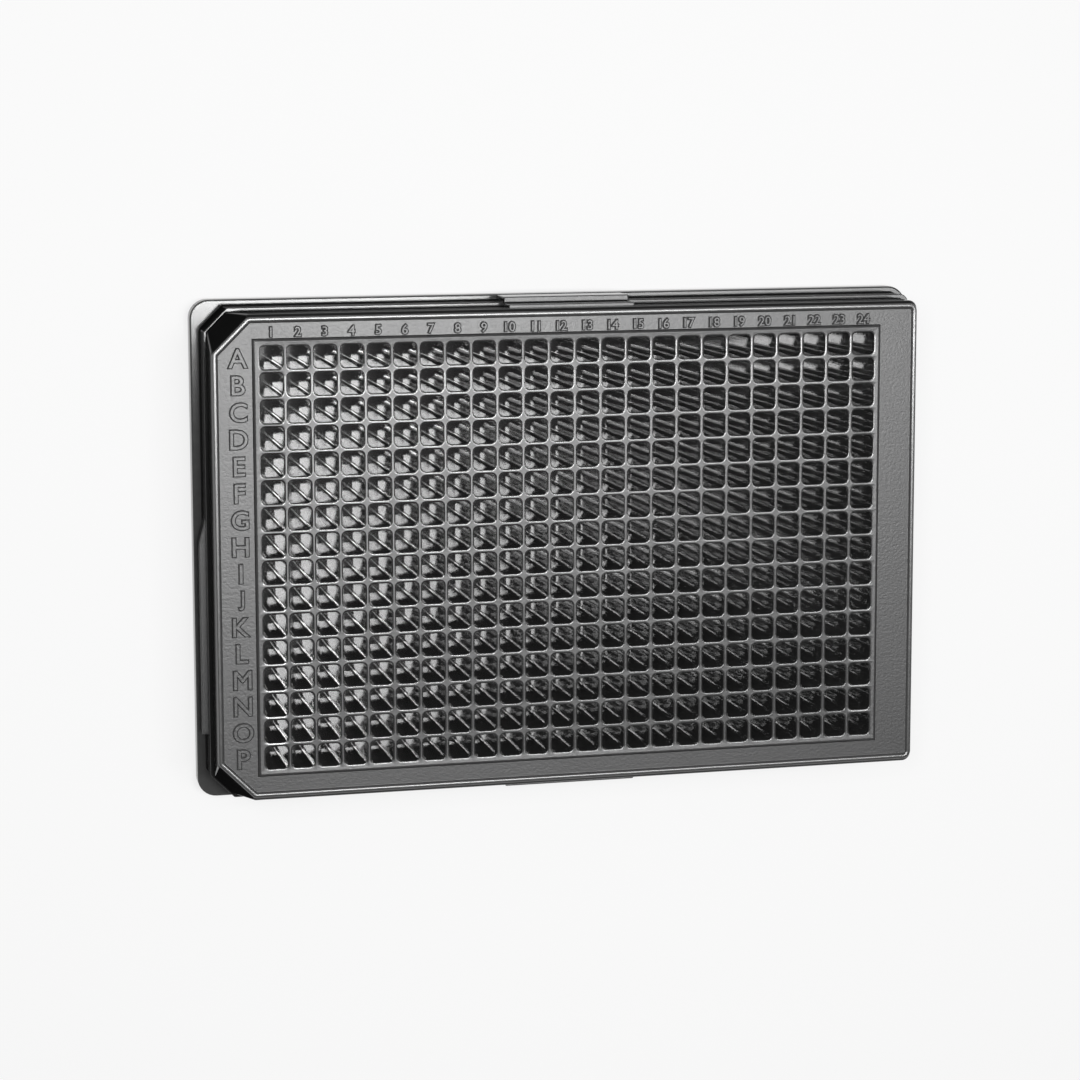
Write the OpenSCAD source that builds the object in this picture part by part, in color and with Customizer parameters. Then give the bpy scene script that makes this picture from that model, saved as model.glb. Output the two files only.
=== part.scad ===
// 384-well microplate, one injection moulding.
// Origin: middle of the footprint, at the foot rim. +X runs along the columns
// from 1 to 24, +Y towards row A, +Z up out of the wells.

/* [Footprint and height] */
// Length of the foot flange, along the columns
base_l = 127.76; // [127.26:0.01:128.26]
// Width of the foot flange, along the rows
base_w = 85.48; // [84.98:0.01:85.98]
// Corner radius of the foot flange
base_r = 3.2; // [1.6:0.1:4.8]
// Overall height
plate_h = 14.4; // [14.1:0.05:14.6]
// Height of the foot flange
flange_h = 2.8; // [2.1:0.1:3]

/* [Side walls] */
// Length over the lower side wall, above the flange
lower_l = 124.5; // [124.3:0.1:125]
// Width over the lower side wall, above the flange
lower_w = 83.4; // [83:0.1:84]
// Height of the ledge where the lower wall steps in
ledge_z = 8.3; // [7.5:0.1:9]
// Length over the upper side wall
upper_l = 123.4; // [123:0.1:124]
// Width over the upper side wall
upper_w = 82.0; // [81.4:0.1:82.4]
// Radius of the upright corners of the walls
wall_r = 1.5; // [0.8:0.1:2]
// Wall thickness of the skirt and the deck
wall_t = 1.2; // [1:0.1:1.4]
// Bevel along the top outer edge
edge_bevel = 0.4; // [0.2:0.05:0.6]

/* [Index corners] */
// Leg of the corner chamfer at the deck
face_chamfer = 6.1; // [5.5:0.1:6.6]
// Leg of the corner chamfer at the lower wall
foot_chamfer = 4.0; // [3.5:0.1:5]
// Width of the ledge across the chamfer
corner_ledge = 0.35; // [0.2:0.05:0.6]

/* [Grips] */
// Length of the grip block in the middle of each long side
grip_l = 22; // [16:1:30]
// Height of the lower step of the long-side grip blocks, above the ledge
grip_h = 8.5; // [8.2:0.1:9.5]
// How far the lower step stays inside the edge of the flange
grip_inset = 0.1; // [0.05:0.05:0.4]
// Height of the upper step of the long-side grip blocks
grip_step_h = 12.4; // [10:0.1:13]
// How far the upper step stands out from the upper wall
grip_step_t = 0.6; // [0.4:0.05:0.65]
// Length of the block on the short side beside column 1
side_block_l = 32; // [24:0.5:34]
// Distance of that block's middle from the long axis, towards row P
side_block_y = 15; // [12:0.5:17]
// Height of that block
side_block_h = 6.4; // [5:0.1:7.5]
// How far that block's face stands out from the lower wall
side_block_t = 1.1; // [0.6:0.1:1.4]
// Length of the ramp at that block's end towards row A
side_ramp = 6; // [2:0.5:10]

/* [Deck] */
// Depth of the deck below the rim and the well tops
deck_drop = 0.4; // [0.2:0.05:0.6]
// Width of the rim that runs round the deck
rim_w = 1.4; // [1:0.1:2]
// Margin of the raised well field outside the outer wells
field_margin = 0.85; // [0.6:0.05:1.2]

/* [Wells] */
// Wells along X
cols = 24; // [24]
// Wells along Y
rows = 16; // [16]
// Distance between well centres
pitch = 4.5; // [4.5]
// Width of the square opening of a well
well_top = 3.8; // [3.6:0.05:3.9]
// Width of a well at its floor
well_floor = 3.3; // [3.1:0.05:3.5]
// Depth of a well
well_depth = 11.5; // [10:0.1:11.8]
// Corner radius of the opening
well_r = 0.7; // [0.6:0.05:0.9]
// Flat steps that round each corner of a well
corner_steps = 2; // [2:1:6]
// Thickness of the floor under the wells
floor_t = 1.0; // [0.8:0.1:1.4]

/* [Hidden] */
$fn = 48;
eps = 0.02;
deck_z = plate_h - deck_drop;
field_l = (cols - 1) * pitch + well_top + 2 * field_margin;
field_w = (rows - 1) * pitch + well_top + 2 * field_margin;
block_l = field_l + 2 * (wall_t - field_margin);
block_w = field_w + 2 * (wall_t - field_margin);
block_z = plate_h - well_depth - floor_t;
// distances of the index-corner walls from the middle, measured across the corner
face_d = ((upper_l + upper_w) / 2 - face_chamfer) / sqrt(2);
foot_d = ((lower_l + lower_w) / 2 - foot_chamfer) / sqrt(2);
// how far the leaning corner walls come in for each unit of height
lean = (foot_d - corner_ledge - face_d) / (plate_h - ledge_z);
// upright corner radius inside the skirt and the deck
inner_r = wall_r / 2;
// the skirt is thicker behind the leaning corner walls
corner_t = 1.2 * wall_t;
// past the plate on every side
far = 120;

// A slab with rounded upright corners, standing on z = 0
module slab(l, w, r, h) {
    linear_extrude(height = h) {
        square([l - 2 * r, w], center = true);
        square([l, w - 2 * r], center = true);
        for (x = [-1, 1], y = [-1, 1])
            translate([x * (l / 2 - r), y * (w / 2 - r)]) circle(r = r);
    }
}

// Distance of a leaning corner wall from the middle, at a height
function lean_d(z) = face_d + lean * (plate_h - z);

// A half space outside one index corner, from an outline in distance and height
module corner_half_space(outline) {
    for (side = [0, 1]) mirror([0, side, 0])
        rotate([0, 0, 135]) rotate([90, 0, 0])
            linear_extrude(height = far, center = true) polygon(outline);
}

// What lies outside the upright corner walls. inset moves them inwards.
module upright_cuts(inset, bottom) {
    corner_half_space([
        [foot_d - inset, bottom], [foot_d - inset, plate_h + eps],
        [far, plate_h + eps], [far, bottom]
    ]);
}

// What lies outside the leaning corner walls, with the top edge bevelled
module leaning_cuts(inset, bevel) {
    edge_z = plate_h - bevel;
    corner_half_space([
        [lean_d(0) - inset, 0], [lean_d(edge_z) - inset, edge_z],
        [lean_d(edge_z) - inset - bevel, plate_h + eps],
        [far, plate_h + eps], [far, 0]
    ]);
}

// An upright section with bevelled top corners, run along Y
module bevelled_run(l, run) {
    rotate([90, 0, 0]) linear_extrude(height = run, center = true)
        polygon([
            [-l / 2, 0], [l / 2, 0],
            [l / 2, plate_h - edge_bevel], [l / 2 - edge_bevel, plate_h],
            [-l / 2 + edge_bevel, plate_h], [-l / 2, plate_h - edge_bevel]
        ]);
}

// The side walls above the flange and up to the ledge, still solid
module lower_walls() {
    difference() {
        slab(lower_l, lower_w, wall_r, ledge_z);
        upright_cuts(0, flange_h / 2);
    }
}

// The side walls from the ledge to the deck, still solid. They start a little
// inside the lower walls.
module upper_walls() {
    difference() {
        intersection() {
            translate([0, 0, ledge_z - corner_ledge]) slab(upper_l, upper_w, wall_r, plate_h);
            bevelled_run(upper_l, base_w);
            rotate([0, 0, 90]) bevelled_run(upper_w, base_l);
        }
        leaning_cuts(0, edge_bevel);
    }
}

// Grip block in the middle of a long side, in two steps
module long_grip() {
    translate([-grip_l / 2, 0, 0]) {
        cube([grip_l, base_w / 2 - grip_inset, grip_h]);
        cube([grip_l, upper_w / 2 + grip_step_t, grip_step_h]);
    }
}

// Block on the short side beside column 1, with a ramp at one end
module side_block() {
    block_out = lower_l / 2 + side_block_t;
    p_end = -side_block_y - side_block_l / 2;
    a_end = -side_block_y + side_block_l / 2;
    linear_extrude(height = side_block_h)
        polygon([
            [-block_out, p_end], [0, p_end], [0, a_end + side_ramp],
            [eps - lower_l / 2, a_end + side_ramp], [-block_out, a_end]
        ]);
}

// The hollow underside, which leaves the well block standing in the middle
module hollow() {
    difference() {
        translate([0, 0, -eps]) {
            slab(base_l - 2 * wall_t, base_w - 2 * wall_t, base_r - wall_t, flange_h - wall_t + eps);
            difference() {
                union() {
                    slab(lower_l - 2 * wall_t, lower_w - 2 * wall_t, inner_r, ledge_z - wall_t + eps);
                    slab(upper_l - 2 * wall_t, upper_w - 2 * wall_t, inner_r, deck_z - wall_t + eps);
                }
                upright_cuts(corner_t, flange_h - wall_t);
                leaning_cuts(corner_t, 0);
            }
        }
        translate([-block_l / 2, -block_w / 2, block_z]) cube([block_l, block_w, plate_h]);
    }
}

// The sunk deck between the outer rim and the raised well field
module deck_recess() {
    translate([0, 0, deck_z]) difference() {
        slab(upper_l - 2 * rim_w, upper_w - 2 * rim_w, inner_r, plate_h);
        translate([0, 0, -deck_z]) leaning_cuts(rim_w, 0);
        translate([-field_l / 2, -field_w / 2, -eps]) cube([field_l, field_w, plate_h]);
    }
}

// The space inside one well: a leaning-walled square with rounded corners.
// Each pass keeps what lies between two leaning planes that face each other,
// turned by one step of the corner rounding. The corner radius shrinks with
// the taper, so the corner axes stay upright.
module well() {
    axis = well_top / 2 - well_r;
    over = 0.5;
    lean = (well_top - well_floor) / 2 / well_depth;
    intersection_for (turn = [0 : 90 / corner_steps : 179]) {
        reach = axis * (abs(cos(turn)) + abs(sin(turn)));
        bottom = reach + well_floor / 2 - axis;
        top = reach + well_r + lean * over;
        rotate([0, 0, turn]) rotate([90, 0, 0])
            linear_extrude(height = 2 * pitch, center = true)
                polygon([[-bottom, 0], [bottom, 0], [top, well_depth + over], [-top, well_depth + over]]);
    }
}

// All wells, column by column
module wells() {
    for (c = [0 : cols - 1], r = [0 : rows - 1])
        translate([
            (c - (cols - 1) / 2) * pitch,
            (r - (rows - 1) / 2) * pitch,
            plate_h - well_depth
        ]) well();
}

module plate() {
    color([0.07, 0.07, 0.075]) difference() {
        union() {
            slab(base_l, base_w, base_r, flange_h);
            lower_walls();
            upper_walls();
            long_grip();
            mirror([0, 1, 0]) long_grip();
            side_block();
        }
        hollow();
        deck_recess();
        wells();
    }
}

plate();
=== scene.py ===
"""A black 384-well microplate, dressed for its portrait: satin deck and lands,
polished side walls and wells, raised index letters and numbers."""

import bpy
import numpy as np
from mathutils import Matrix, Vector


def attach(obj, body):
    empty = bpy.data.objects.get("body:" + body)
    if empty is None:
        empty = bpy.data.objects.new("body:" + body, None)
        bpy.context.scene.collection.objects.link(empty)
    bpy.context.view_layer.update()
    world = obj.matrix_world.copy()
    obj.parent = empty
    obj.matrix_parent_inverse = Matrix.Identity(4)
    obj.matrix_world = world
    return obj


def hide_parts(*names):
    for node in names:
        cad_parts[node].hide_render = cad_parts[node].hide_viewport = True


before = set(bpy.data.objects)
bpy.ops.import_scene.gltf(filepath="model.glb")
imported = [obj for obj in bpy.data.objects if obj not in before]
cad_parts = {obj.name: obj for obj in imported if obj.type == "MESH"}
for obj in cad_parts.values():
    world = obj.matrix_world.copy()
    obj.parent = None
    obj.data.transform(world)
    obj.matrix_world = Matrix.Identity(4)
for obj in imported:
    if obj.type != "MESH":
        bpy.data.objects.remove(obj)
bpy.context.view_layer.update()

# --- Skirt, rim and deck -----------------------------------------------------
# The outer shell of the moulding: foot flange, stepped side walls, bead rim
# and sunk deck, 1.2 mm thick and open below. Black polystyrene, moulded in one
# shot against polished steel, with a spark-eroded face for the satin deck.
mm = 0.001
polystyrene_ior = 1.59


class Value:
    """A number socket inside an expression. + and * build the Math nodes."""

    def __init__(self, finish, socket):
        self.finish, self.socket = finish, socket

    def join(self, operation, first, second):
        made = self.finish.node(
            "ShaderNodeMath", {"operation": operation}, {0: first, 1: second}
        )
        return Value(self.finish, made.outputs[0])

    def __add__(self, other):
        return self.join("ADD", self, other)

    def __mul__(self, other):
        return self.join("MULTIPLY", self, other)

    __radd__, __rmul__ = __add__, __mul__


class Nodes:
    """A node tree while it is made."""

    def __init__(self, tree):
        self.tree = tree

    def node(self, kind, settings=(), sockets=()):
        """Adds a node. Its settings come first, then values or links. Stops
        are a ramp's, each a position and a grey."""
        made = self.tree.nodes.new(kind)
        for key, value in dict(settings).items():
            if key == "stops":
                for stop, (position, grey) in zip(made.color_ramp.elements, value):
                    stop.position, stop.color = position, (grey, grey, grey, 1.0)
            else:
                setattr(made, key, value)
        self.fill(made, sockets)
        return made

    def fill(self, node, sockets):
        """Gives a node's sockets their values or links."""
        for key, value in dict(sockets).items():
            if isinstance(value, Value):
                value = value.socket
            if isinstance(value, bpy.types.NodeSocket):
                self.tree.links.new(value, node.inputs[key])
            else:
                node.inputs[key].default_value = value


class Finish(Nodes):
    """A material while it is made: its node tree and its one shader."""

    def __init__(self, name):
        self.material = bpy.data.materials.new(name)
        self.material.use_nodes = True
        super().__init__(self.material.node_tree)
        self.shader = self.tree.nodes["Principled BSDF"]
        self.place = self.node("ShaderNodeTexCoord").outputs["Object"]

    def noise(self, grain, detail):
        """Noise between 0 and 1, with lumps about grain metres across."""
        sockets = {"Vector": self.place, "Scale": 1 / grain}
        sockets |= {"Detail": detail, "Roughness": 0.6}
        made = self.node("ShaderNodeTexNoise", {}, sockets)
        return Value(self, made.outputs["Fac"])

    def tint(self, mask, dark, light):
        """A colour that goes from dark to light with the mask."""
        made = self.node(
            "ShaderNodeMix",
            {"data_type": "RGBA"},
            {"Factor": mask, 6: (*dark, 1.0), 7: (*light, 1.0)},
        )
        return made.outputs[2]

    def bump(self, height, distance, below=None):
        """A normal from a height between 0 and 1, distance metres high."""
        sockets = {"Height": height, "Distance": distance, "Strength": 1.0}
        if below is not None:
            sockets["Normal"] = below
        return self.node("ShaderNodeBump", {}, sockets).outputs[0]


def satin_black():
    """Spark-eroded face: a fine grain over coarser pits, with faint flow
    mottling in its colour and gloss."""
    finish = Finish("satin_black_polystyrene")
    grain, pits = finish.noise(0.22 * mm, 2.0), finish.noise(0.5 * mm, 1.0)
    flow, fleck = finish.noise(9 * mm, 3.0), finish.noise(0.5 * mm, 2.0)
    dark, light = (0.028, 0.028, 0.028), (0.042, 0.042, 0.043)
    finish.fill(
        finish.shader,
        {
            "Base Color": finish.tint(flow * 0.5 + fleck * 0.5, dark, light),
            "Roughness": 0.32 + flow * 0.06 + fleck * 0.12,
            "Normal": finish.bump(pits, 0.03 * mm, finish.bump(grain, 0.02 * mm)),
            "IOR": polystyrene_ior,
            "Specular IOR Level": 1.0,
        },
    )
    return finish.material


def smooth_black(name, shade, roughness, ior, shine, wave):
    """Polished tool face: a slow ripple, wave millimetres high, and a haze
    that spreads the gloss a little here and there."""
    finish = Finish(f"{name}_black_polystyrene")
    haze = finish.noise(1.5 * mm, 4.0)
    finish.fill(
        finish.shader,
        {
            "Base Color": finish.tint(haze, (shade * 0.8,) * 3, (shade * 1.2,) * 3),
            "Roughness": roughness * 0.8 + haze * (roughness * 0.4),
            "Normal": finish.bump(finish.noise(5 * mm, 1.0), wave * mm),
            "IOR": ior,
            "Specular IOR Level": shine,
        },
    )
    return finish.material


# shade, roughness, index of refraction, specular level and ripple of the
# smooth faces
looks = {
    # flange: a lighter copy of the same plastic, its lighter shade a painted sheen
    "flange": (0.07, 0.13, polystyrene_ior, 0.25, 0.003),
    # ledge: a darker copy of the same plastic, painted shade that darkens its
    # reflection in the walls above
    "ledge": (0.015, 0.13, polystyrene_ior, 0.27, 0.003),
    "polished": (0.010, 0.08, polystyrene_ior, 0.14, 0.006),
    "well": (0.05, 0.055, 2.2, 0.9, 0.0003),
    "lip": (0.03, 0.24, polystyrene_ior, 1.0, 0.003),
    "rim": (0.03, 0.30, 1.75, 1.0, 0.003),
    # corner: painted shade, a near-black face with no gloss for the leaning corner
    # walls
    "corner": (0.008, 0.08, polystyrene_ior, 0.0, 0.006),
}
finishes = [satin_black()]
finishes += [smooth_black(name, *look) for name, look in looks.items()]
satin, flange_painted_sheen, ledge_painted_shade, polished = range(4)
well_black, lip_black, rim_black, corner_painted_shade = range(4, 8)


def face_areas(rings):
    """Area vectors: half the sum of p x q over each face's sides p to q."""
    return 0.5 * np.cross(rings, np.roll(rings, -1, axis=1)).sum(axis=1)


def bare_mesh(name, points, corners, sizes):
    """A mesh from points in millimetres, the corner numbers of all its faces
    in one row, and how many of them each face has."""
    mesh = bpy.data.meshes.new(name)
    mesh.vertices.add(len(points))
    mesh.vertices.foreach_set("co", (points * mm).ravel())
    mesh.loops.add(len(corners))
    mesh.loops.foreach_set("vertex_index", corners)
    mesh.polygons.add(len(sizes))
    mesh.polygons.foreach_set("loop_start", np.cumsum(sizes) - sizes)
    mesh.update(calc_edges=True)
    return mesh


def show(mesh, materials):
    """Shows a mesh as a piece of the moulding, in place of the plain plate."""
    for material in materials:
        mesh.materials.append(material)
    piece = bpy.data.objects.new(mesh.name, mesh)
    bpy.context.collection.objects.link(piece)
    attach(piece, "root")
    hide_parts("plate")
    return piece


def add_piece(name, points, groups, shaded=True):
    """A mesh piece from points in millimetres and groups of faces.

    A group is (faces, hold, finish): one row of corner numbers for each face,
    and one finish for all of them or one for each. The normal at a point is
    the sum of face normal x area x hold over the faces round it. So a flat
    face with hold 1 stays flat, and a fillet with a small hold turns smoothly
    from one flat to the next. A face with hold 0 adds nothing and keeps its
    own normal. Without shaded, no normal is set.
    """
    points = np.asarray(points, float)
    normals = np.zeros_like(points)
    corners, sizes, slots, own = [], [], [], []
    for faces, hold, finish in groups:
        area = face_areas(points[faces])
        own.append(np.repeat(area * (hold == 0), faces.shape[1], axis=0))
        for column in faces.T:
            np.add.at(normals, column, area * hold)
        corners.append(faces.ravel())
        sizes.append(np.full(len(faces), faces.shape[1]))
        slots.append(np.full(len(faces), finish))
    corners, sizes, own = (np.concatenate(a) for a in (corners, sizes, own))
    mesh = bare_mesh(name, points, corners, sizes)
    mesh.polygons.foreach_set("material_index", np.concatenate(slots))
    if shaded:
        shading = np.where(own.any(axis=1)[:, None], own, normals[corners])
        shading /= np.maximum(np.linalg.norm(shading, axis=1), 1e-12)[:, None]
        mesh.normals_split_custom_set(shading)
    return show(mesh, finishes)


arc_steps = 4


def plate_rings(rows):
    """Rings round the plate, one for each row.

    A row is (half_x, half_y, cut, square_r, blunt_r, z). Six lines bound its
    ring: x = half_x, y = half_y, y - x = cut sqrt 2, x = -half_x, -x - y =
    cut sqrt 2 and y = -half_y. An arc joins each line to the next, of radius
    square_r at the two square corners and blunt_r at the four blunt ones: its
    centre c has n.c = distance - radius for both lines, and its points are
    c + radius (cos a, sin a), a from one line's direction to the next.
    """
    half_x, half_y, cut, square_r, blunt_r, z = np.asarray(rows, float).T
    lines = np.radians([0, 90, 135, 180, 225, 270, 360])
    reach = [half_x, half_y, cut, half_x, cut, half_y, half_x]
    made = []
    for k in range(6):
        is_square = k in (0, 5)
        radius = square_r if is_square else blunt_r
        first, last = lines[k], lines[k + 1]
        base = np.array(
            [[np.cos(first), np.sin(first)], [np.cos(last), np.sin(last)]]
        )
        centre = np.linalg.solve(
            base, np.stack([reach[k] - radius, reach[k + 1] - radius])
        )
        a = np.linspace(first, last, (2 if is_square else 1) * arc_steps + 1)
        x = centre[0][:, None] + radius[:, None] * np.cos(a)
        y = centre[1][:, None] + radius[:, None] * np.sin(a)
        made.append(np.stack([x, y, np.broadcast_to(z[:, None], x.shape)], 2))
    return np.concatenate(made, axis=1)


def band(lower, upper):
    """Quads between two rings of corner numbers of the same length."""
    return np.stack([lower, np.roll(lower, -1), np.roll(upper, -1), upper], 1)


root2 = np.sqrt(2)
# how much a face holds the normals at its corners to its own
flat, fillet = 1.0, 0.0005
deck_z, top_z, ledge_z, flange_z = 14.0, 14.4, 8.3, 2.8
# outlines: half length, half width, distance of the blunt corner walls from
# the middle, radius of the square corners, radius of the blunt ones
block_line = (54.2, 36.2, 89.6 / root2, 0.2, 0.2)
top_line = (61.7, 41.0, 96.6 / root2, 1.5, 0.7)
bead_line = (61.1, 40.05, 96.6 / root2 - 0.8, 0.9, 0.5)
step_line = (61.7, 41.0, 99.455 / root2, 1.5, 0.5)
lower_line = (62.25, 41.7, 99.95 / root2, 1.5, 0.5)
foot_line = (63.88, 42.74, (63.88 + 42.74 - 1.92) / root2, 3.2, 3.2)


def profile(line, kind, *steps):
    """Profile rows on one outline: each step is (out, z), out being how far
    the row lies outside the outline. kind is (hold, finish) for the band that
    each row starts."""
    rows = []
    for out, z in steps:
        half_x, half_y, cut, square_r, blunt_r = line
        radii = [max(r + out, 0.12) for r in (square_r, blunt_r)]
        rows.append(((half_x + out, half_y + out, cut + out, *radii, z), kind))
    return rows


def turn(line, kind, out, z, radius, start, end):
    """Profile rows on an arc about (out, z): out + radius cos a,
    z + radius sin a, with a from start to end in degrees, in three steps."""
    a = np.radians(np.linspace(start, end, 4))
    points = np.stack([out + radius * np.cos(a), z + radius * np.sin(a)], 1)
    return profile(line, kind, *points)


satin_flat, satin_fillet = (flat, satin), (fillet, satin)
ledge_painted_shade_flat, ledge_painted_shade_fillet = (flat, ledge_painted_shade), (fillet, ledge_painted_shade)
flange_painted_sheen_flat, flange_painted_sheen_fillet = (flat, flange_painted_sheen), (fillet, flange_painted_sheen)
polished_flat, polished_fillet = (flat, polished), (fillet, polished)
rim_round = (fillet, rim_black)
rows = (
    profile(block_line, satin_flat, (0, deck_z))
    # deck, then up over the bead of the rim
    + profile(bead_line, satin_fillet, (-0.57, deck_z), (-0.48, deck_z + 0.08))
    + profile(bead_line, rim_round, (-0.39, top_z - 0.18), (-0.28, top_z - 0.075))
    + profile(bead_line, rim_round, (-0.13, top_z - 0.018), (0.00, top_z))
    + profile(bead_line, rim_round, (0.24, top_z), (0.36, top_z - 0.05))
    + profile(bead_line, polished_fillet, (0.47, top_z - 0.24))
    + profile(top_line, polished_fillet, (-0.12, top_z - 0.45))
    + profile(top_line, polished_flat, (0, top_z - 0.7))
    # upper wall, ledge and lower wall
    + turn(step_line, polished_fillet, 0.12, ledge_z + 0.12, 0.12, 180, 270)[:-1]
    + profile(step_line, ledge_painted_shade_flat, (0.12, ledge_z))
    + turn(lower_line, ledge_painted_shade_fillet, -0.15, ledge_z - 0.15, 0.15, 90, 0)[:-1]
    + profile(lower_line, polished_flat, (0, ledge_z - 0.15))
    + turn(lower_line, polished_fillet, 0.2, flange_z + 0.2, 0.2, 180, 270)[:-1]
    + profile(lower_line, flange_painted_sheen_flat, (0.2, flange_z))
    # flange
    + turn(foot_line, flange_painted_sheen_fillet, -0.3, flange_z - 0.3, 0.3, 90, 0)[:-1]
    + profile(foot_line, polished_flat, (0, flange_z - 0.3))
    + turn(foot_line, polished_fillet, -0.15, 0.15, 0.15, 0, -90)[:-1]
    + profile(foot_line, satin_flat, (-0.15, 0), (-1.2, 0), (-1.2, flange_z - 1.2))
    # inside of the skirt
    + profile(lower_line, satin_flat, (-1.2, flange_z - 1.2), (-1.2, ledge_z - 1.2))
    + profile(step_line, satin_flat, (-1.2, ledge_z - 1.2))
    + profile(top_line, satin_flat, (-1.2, deck_z - 1.2))
    + profile(block_line, satin_fillet, (0, deck_z - 1.2))
)
rings = plate_rings([row for row, _ in rows])
count, round_count = rings.shape[:2]
number = np.arange(count * round_count).reshape(count, round_count)
# the leaning walls of the two blunt corners get painted shade, a near-black face
# without gloss: each is the one quad between a pair of blunt arcs
blunt_points = arc_steps + 1
first_wall = 2 * arc_steps + blunt_points
corner_walls = [first_wall, first_wall + 2 * blunt_points]
groups = []
for k, (_, (hold, finish)) in enumerate(rows):
    dress = np.full(round_count, finish)
    if finish == polished:
        dress[corner_walls] = corner_painted_shade
    groups.append((band(number[(k + 1) % count], number[k]), hold, dress))
add_piece("skirt_and_deck", rings.reshape(-1, 3), groups)

# --- Well field --------------------------------------------------------------
# The raised block of 24 by 16 square wells, 4.5 mm apart: satin lands on top,
# rounded lips and tapered polished wells with flat floors. It is moulded with
# the deck and hangs free below it.
columns, row_count, pitch = 24, 16, 4.5
field_x, field_y = 54.4, 36.4
well_floor_z, land_z = top_z - 11.5, top_z - 0.05
quarter = np.radians([0, 30, 60, 90])


def well_ring(half, radius):
    """The 16 points of a square with rounded corners, half its width from the
    middle: (half - radius)(sx, sy) + radius (cos a, sin a), a corner at a
    time."""
    a = (np.radians([0, 90, 180, 270])[:, None] + quarter).ravel()
    side_x, side_y = (np.repeat(s, 4) for s in ([1, -1, -1, 1], [1, 1, -1, -1]))
    inner = half - radius
    return np.stack(
        [inner * side_x + radius * np.cos(a), inner * side_y + radius * np.sin(a)], 1
    )


# from the land round a well over its lip and down to its floor
levels = [
    (well_ring(2.20, 1.00), land_z),
    (well_ring(2.04, 0.84), land_z - 0.017),
    (well_ring(1.94, 0.74), land_z - 0.05),
    (well_ring(1.88, 0.68), land_z - 0.20),
    (well_ring(1.74, 0.54), well_floor_z),
]
centre_x = (np.arange(columns) - (columns - 1) / 2) * pitch
centre_y = (np.arange(row_count) - (row_count - 1) / 2) * pitch
cx, cy = (c.ravel() for c in np.meshgrid(centre_x, centre_y, indexing="ij"))
wells = columns * row_count
ring_xyz = np.zeros((wells, len(levels), 16, 3))
for k, (ring, z) in enumerate(levels):
    ring_xyz[:, k, :, 0] = cx[:, None] + ring[:, 0]
    ring_xyz[:, k, :, 1] = cy[:, None] + ring[:, 1]
    ring_xyz[:, k, :, 2] = z
ring_no = np.arange(wells * len(levels) * 16).reshape(wells, len(levels), 16)
# the lands meet on a grid, whose outer lines are the edges of the raised field
# and stand a little higher than the lands between the wells
line_x = (np.arange(columns + 1) - columns / 2) * pitch
line_y = (np.arange(row_count + 1) - row_count / 2) * pitch
line_x[[0, -1]], line_y[[0, -1]] = (-field_x, field_x), (-field_y, field_y)
grid_z = np.full((columns + 1, row_count + 1), top_z)
grid_z[1:-1, 1:-1] = land_z
grid_xyz = np.stack([*np.meshgrid(line_x, line_y, indexing="ij"), grid_z], 2)
grid_no = ring_no.size + np.arange(grid_xyz.size // 3).reshape(grid_xyz.shape[:2])
cell_corner = np.stack(
    [grid_no[1:, 1:], grid_no[:-1, 1:], grid_no[:-1, :-1], grid_no[1:, :-1]], 2
).reshape(wells, 4)
groups = []
for q in range(4):
    after = (q + 1) % 4
    lip = ring_no[:, 0]
    along_lip = [4 * after + 1, 4 * after, 4 * q + 3, 4 * q + 2, 4 * q + 1]
    land = [cell_corner[:, q], cell_corner[:, after], *(lip[:, c] for c in along_lip)]
    groups.append((np.stack(land, 1), flat, satin))
lip_round = (fillet, lip_black)
for k, (hold, finish) in enumerate([lip_round] * 3 + [(flat, well_black)]):
    upper, lower = ring_no[:, k], ring_no[:, k + 1]
    quads = np.stack([upper, np.roll(upper, -1, 1), np.roll(lower, -1, 1), lower], 2)
    groups.append((quads.reshape(-1, 4), hold, finish))
groups.append((ring_no[:, -1], 0, well_black))
# the edge of the field runs down to the deck and on down the block's sides
edge_no = np.concatenate(
    [grid_no[:-1, 0], grid_no[-1, :-1], grid_no[:0:-1, -1], grid_no[0, :0:-1]]
)
edge_xy = grid_xyz.reshape(-1, 3)[edge_no - ring_no.size, :2]
outward = np.sign(edge_xy) * (abs(edge_xy) == (field_x, field_y))
below, next_no, upper = [], grid_no.max() + 1, edge_no
block_bottom_z = well_floor_z - 1.0
for out, z, kind in [
    (0.15, top_z - 0.04, satin_fillet),
    (0.35, top_z - 0.26, satin_fillet),
    (0.55, deck_z, satin_fillet),
    (0.45, block_bottom_z + 0.3, satin_flat),
    (0.15, block_bottom_z, satin_fillet),
]:
    level_z = np.full(len(edge_xy), z)
    below.append(np.column_stack([edge_xy + out * outward, level_z]))
    lower = next_no + np.arange(len(edge_xy))
    groups.append((band(lower, upper), *kind))
    next_no, upper = next_no + len(edge_xy), lower
groups.append((upper[None, ::-1], flat, satin))
add_piece(
    "well_field",
    np.concatenate([ring_xyz.reshape(-1, 3), grid_xyz.reshape(-1, 3), *below]),
    groups,
)

# --- Grips and side block ----------------------------------------------------
# Solid blocks on the side walls that a gripper closes on: a stepped one in the
# middle of each long side, and one with a ramp on the short side beside
# column 1. Moulded with the walls, their edges broken by a small radius.
edge_radius = 0.22


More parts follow.
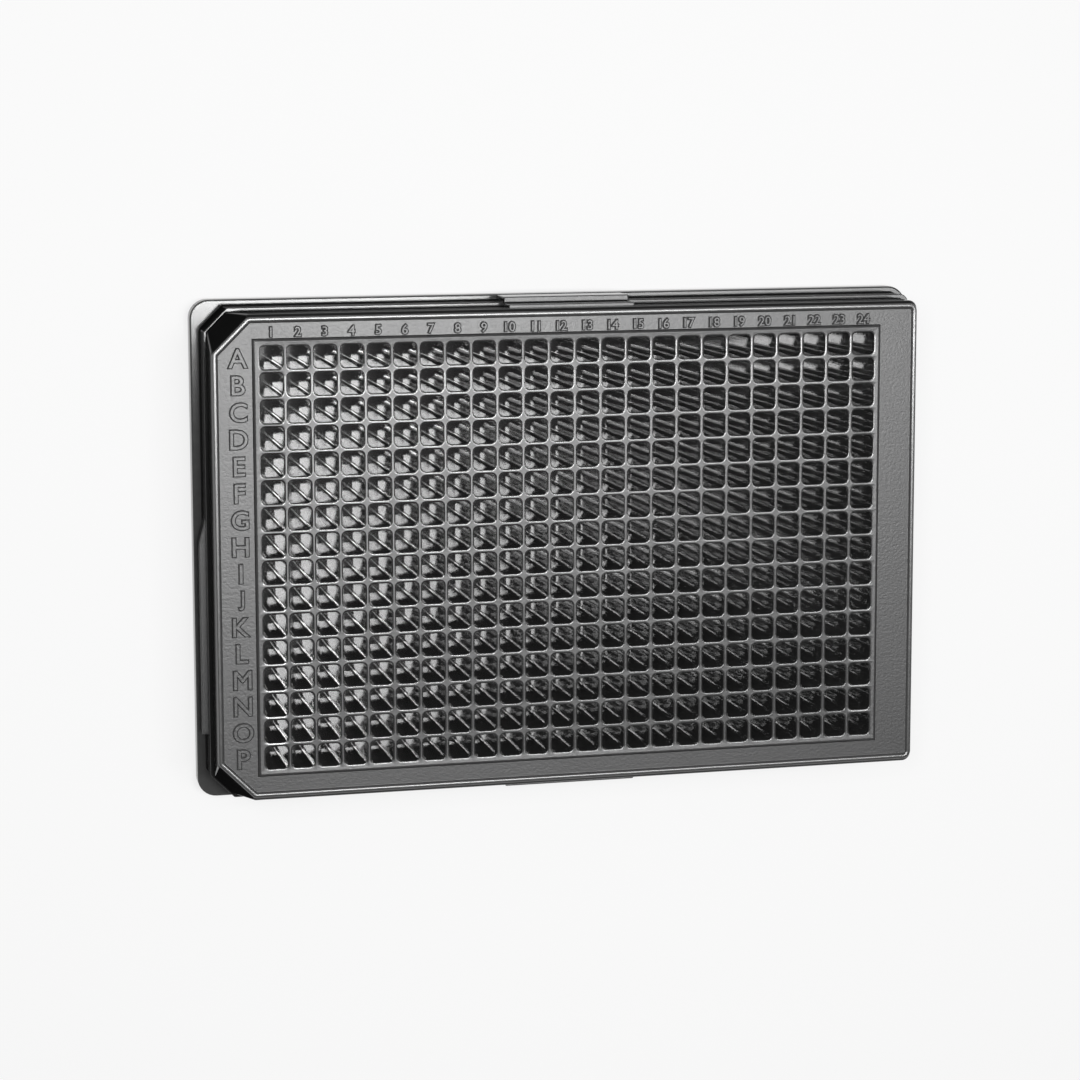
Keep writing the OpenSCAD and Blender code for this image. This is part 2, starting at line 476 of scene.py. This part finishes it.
def add_block(name, outline, bottom, top, place):
    """A prism from an outline in two axes, run from bottom to top along the
    third. place turns (outline a, outline b, run) into x, y, z. Faces that
    look up are satin and the others polished."""
    a, b = np.asarray(outline, float).T
    count = len(a)
    low, high = (np.stack(place(a, b, np.full(count, run)), 1) for run in (bottom, top))
    points = np.concatenate([low, high])
    ring = np.arange(count)
    sides_and_ends = [band(ring, ring + count), ring[None, ::-1], ring[None] + count]
    # the volume is a third of the sum of corner . area over the faces, and is
    # negative where place has turned the prism inside out
    areas = [face_areas(points[faces]) for faces in sides_and_ends]
    pairs = list(zip(sides_and_ends, areas))
    volume = sum((points[faces[:, 0]] * area).sum() for faces, area in pairs) / 3
    groups = []
    for faces, area in pairs:
        if volume < 0:
            faces, area = faces[:, ::-1], -area
        looks_up = area[:, 2] > 0.7 * np.linalg.norm(area, axis=1)
        groups.append((faces, flat, np.where(looks_up, satin, polished)))
    piece = add_piece(name, points, groups, shaded=False)
    rounding = piece.modifiers.new("edges", "BEVEL")
    rounding.width, rounding.segments = edge_radius * mm, 3
    rounding.limit_method, rounding.angle_limit = "ANGLE", np.radians(30)
    rounding.harden_normals = True


# blocks start inside the skirt, a little above the foot rim
block_foot_z = 1.0
grip_half, grip_top_z, grip_step_z = 11.0, 12.4, 8.5
grip_inner_y, grip_step_y, grip_foot_y = 40.2, 41.6, 42.64
grip_outline = [
    (grip_inner_y, block_foot_z),
    (grip_foot_y, block_foot_z),
    (grip_foot_y, grip_step_z),
    (grip_step_y, grip_step_z),
    (grip_step_y, grip_top_z),
    (grip_inner_y, grip_top_z),
]
for side, name in ((1, "grip_row_a"), (-1, "grip_row_p")):
    add_block(
        name,
        grip_outline,
        -grip_half,
        grip_half,
        lambda a, b, run, side=side: (run, side * a, b),
    )
# the side block's outer face runs back to the wall over a smooth ramp:
# x = wall - depth (1 - t^2 (3 - 2 t)), as t goes from 0 to 1 along y
side_inner_x, side_wall_x, side_depth, side_top_z = -61.2, -62.2, 1.15, 6.4
side_start_y, ramp_start_y, ramp_length = -31.0, 1.0, 6.0
t = np.linspace(0, 1, 9)
ramp_x = side_wall_x - side_depth * (1 - t**2 * (3 - 2 * t))
side_outline = [
    (side_inner_x, ramp_start_y + ramp_length),
    (side_inner_x, side_start_y),
    (side_wall_x - side_depth, side_start_y),
    *zip(ramp_x, ramp_start_y + ramp_length * t),
]
add_block(
    "side_block", side_outline, block_foot_z, side_top_z, lambda a, b, run: (a, b, run)
)

# --- Index letters and numbers -----------------------------------------------
# Raised on the deck by the same moulding: letters A to P beside the rows and
# numbers 1 to 24 above the columns, with slanted sides and flat tops.
glyph_thick, glyph_sunk, glyph_edge = 0.5, 0.15, 0.2


def glyph_mesh(text, height):
    """A glyph as points in millimetres, its middle at the origin and its foot
    at z = 0, with the corner numbers and sizes of its faces. The slanted edge
    makes the strokes bolder, so the plain glyph is made two edges lower."""
    curve = bpy.data.curves.new("glyph", "FONT")
    curve.body, curve.size, curve.resolution_u = text, 1.0, 4
    curve.align_x, curve.align_y = "CENTER", "CENTER"
    holder = bpy.data.objects.new("glyph", curve)
    bpy.context.collection.objects.link(holder)
    bpy.context.view_layer.update()
    scale = (height - 2 * glyph_edge) / holder.dimensions.y
    curve.bevel_depth, curve.bevel_resolution = glyph_edge / scale, 0
    curve.extrude = (glyph_thick / 2 - glyph_edge) / scale
    bpy.context.view_layer.update()
    graph = bpy.context.evaluated_depsgraph_get()
    mesh = bpy.data.meshes.new_from_object(holder.evaluated_get(graph))
    bpy.data.objects.remove(holder)
    points = np.zeros(len(mesh.vertices) * 3)
    mesh.vertices.foreach_get("co", points)
    points = points.reshape(-1, 3) * scale
    middle = (points.min(0) + points.max(0)) / 2
    points -= (middle[0], middle[1], points[:, 2].min())
    corners = np.zeros(len(mesh.loops), int)
    mesh.loops.foreach_get("vertex_index", corners)
    sizes = np.zeros(len(mesh.polygons), int)
    mesh.polygons.foreach_get("loop_total", sizes)
    bpy.data.meshes.remove(mesh)
    return points, corners, sizes


letter_x, letter_height, number_y, number_height = -57.3, 3.5, 38.0, 1.95
labels = [
    (chr(ord("A") + k), letter_x, y, letter_height)
    for k, y in enumerate(centre_y[::-1])
]
labels += [(str(k + 1), x, number_y, number_height) for k, x in enumerate(centre_x)]
points, corners, sizes, start = [], [], [], 0
for text, x, y, height in labels:
    glyph, glyph_corners, glyph_sizes = glyph_mesh(text, height)
    points.append(glyph + (x, y, deck_z - glyph_sunk))
    corners.append(glyph_corners + start)
    sizes.append(glyph_sizes)
    start += len(glyph)
marks = bare_mesh("index_marks", *map(np.concatenate, (points, corners, sizes)))
marks.shade_flat()
show(marks, [finishes[satin]])

# --- Studio ------------------------------------------------------------------
# White paper under the plate, and level soft boxes where its gloss mirrors
# them into the camera: a key for the left wells, the flange and the rim, and
# strips and fills for the deck. The sky is grey, brighter at the horizon.
paper_half = 3000
paper_corners = [(-1, -1, 0), (1, -1, 0), (1, 1, 0), (-1, 1, 0)]
paper_corners = np.array(paper_corners) * paper_half * mm
paper_mesh = bpy.data.meshes.new("studio_floor")
paper_mesh.from_pydata(paper_corners.tolist(), [], [(0, 1, 2, 3)])
paper = Finish("studio_paper")
paper.fill(
    paper.shader,
    {"Base Color": (0.9, 0.9, 0.9, 1), "Roughness": 0.9, "Specular IOR Level": 0.1},
)
# most of the paper is plain white where the camera or a gloss sees it, and
# the rest keeps the shadow
paper_lift = 0.75
rays = paper.node("ShaderNodeLightPath").outputs
seen = sum(
    Value(paper, rays[f"Is {kind} Ray"])
    for kind in ("Camera", "Glossy", "Transmission")
)
white = paper.node("ShaderNodeEmission", {}, {"Strength": 1.0}).outputs[0]
lifted = paper.node(
    "ShaderNodeMixShader",
    {},
    {0: seen * paper_lift, 1: paper.shader.outputs[0], 2: white},
)
paper.fill(paper.tree.nodes["Material Output"], {"Surface": lifted.outputs[0]})
paper_mesh.materials.append(paper.material)
floor = bpy.data.objects.new("studio_floor", paper_mesh)
bpy.context.collection.objects.link(floor)

softbox_z = 446.0


def add_softbox(name, x, y, size_x, size_y, power):
    """A level rectangular soft box that faces down; millimetres and watts."""
    lamp = bpy.data.lights.new(name, "AREA")
    lamp.shape, lamp.size, lamp.size_y = "RECTANGLE", size_x * mm, size_y * mm
    lamp.energy = power
    holder = bpy.data.objects.new(name, lamp)
    holder.location = Vector((x, y, softbox_z)) * mm
    bpy.context.collection.objects.link(holder)


add_softbox("key", -172, 122, 116, 155, 0.6)
add_softbox("key_arm", -100, 85, 28, 14, 0.013)
add_softbox("strip", 10, 19, 140, 26, 0.66)
add_softbox("strip_middle", 125, 19, 90, 26, 0.17)
add_softbox("strip_end", 208, 9, 76, 46, 0.18)
add_softbox("fill_near", 130, 104, 220, 40, 0.19)
add_softbox("fill_far", 130, 53, 220, 18, 0.087)

world = bpy.data.worlds.new("studio")
world.use_nodes = True
bpy.context.scene.world = world
sky = Nodes(world.node_tree)
sky_place = sky.node("ShaderNodeTexCoord").outputs["Generated"]
sky_height = sky.node("ShaderNodeSeparateXYZ", {}, {0: sky_place}).outputs["Z"]
sky_grey = sky.node(
    "ShaderNodeValToRGB", {"stops": [(0.05, 0.75), (0.25, 0.14)]}, {0: sky_height}
)
sky.fill(sky.tree.nodes["Background"], {"Color": sky_grey.outputs[0], "Strength": 1.0})

# the camera stands high on the A1 side and looks down at the face; its axes
# are unit vectors to its right, up and ahead
camera_place = Vector((-111.59, 73.80, 444.48)) * mm
right, up, ahead = (
    Vector((0.974919, -0.004123, 0.22252)),
    Vector((0.030811, 0.992701, -0.1166)),
    Vector((0.220416, -0.120532, -0.96793)),
)
camera_data = bpy.data.cameras.new("camera")
camera_data.sensor_width, camera_data.lens = 36.0, 87.754
camera_data.shift_x, camera_data.shift_y = 0.04, -0.1
camera_data.clip_start = 0.01
camera = bpy.data.objects.new("camera", camera_data)
turned = Matrix((right, up, -ahead)).transposed().to_4x4()
camera.matrix_world = Matrix.Translation(camera_place) @ turned
bpy.context.collection.objects.link(camera)
bpy.context.scene.camera = camera
bpy.context.scene.view_settings.view_transform = "Standard"
